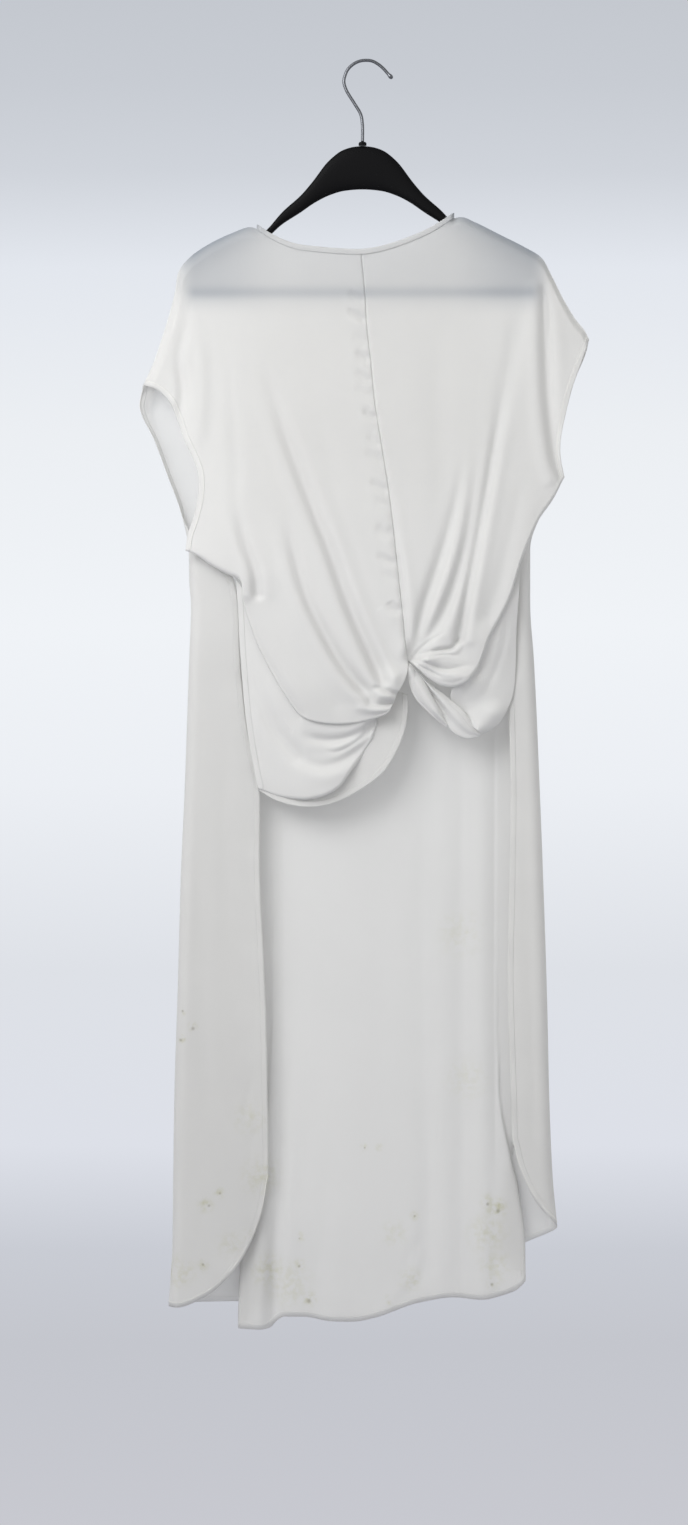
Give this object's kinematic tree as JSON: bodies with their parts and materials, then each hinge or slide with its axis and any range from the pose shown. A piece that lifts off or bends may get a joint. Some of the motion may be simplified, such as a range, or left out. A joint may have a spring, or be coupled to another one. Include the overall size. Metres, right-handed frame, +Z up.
{
  "type": "tunic on hanger",
  "caption": "Sleeveless high-low tunic with a short twist-front, a long wrapped back and a scooped neck, hung on a slim moulded hanger with a wire hook.",
  "frame": {"origin": "the hook's bearing point, the inside of its top where a rail carries it", "axes": "+Z up, the front of the garment faces -Y, +X to the viewer's right"},
  "size_m": [0.4952, 0.0658, 1.3965],
  "materials": {
    "cloth": "matt ivory crepe, slightly see-through",
    "binding": "matt ivory bias binding",
    "hanger": "black moulded plastic, half gloss",
    "hook": "bright plated wire"
  },
  "bodies": {
    "root": {"back_panel": "cloth", "front_left_bodice": "cloth", "front_left_lobe": "cloth", "front_right_bodice": "cloth", "front_right_loop": "cloth", "twist_fan": "cloth", "twist_tail_upper": "cloth", "twist_tail_lower": "cloth", "twist_knuckle": "cloth", "neck_binding_front": "binding", "neck_binding_back": "binding", "hanger_arms": "hanger", "hanger_bar": "hanger", "hanger_boss": "hanger", "hook_wire": "hook"}
  },
  "joints": []
}
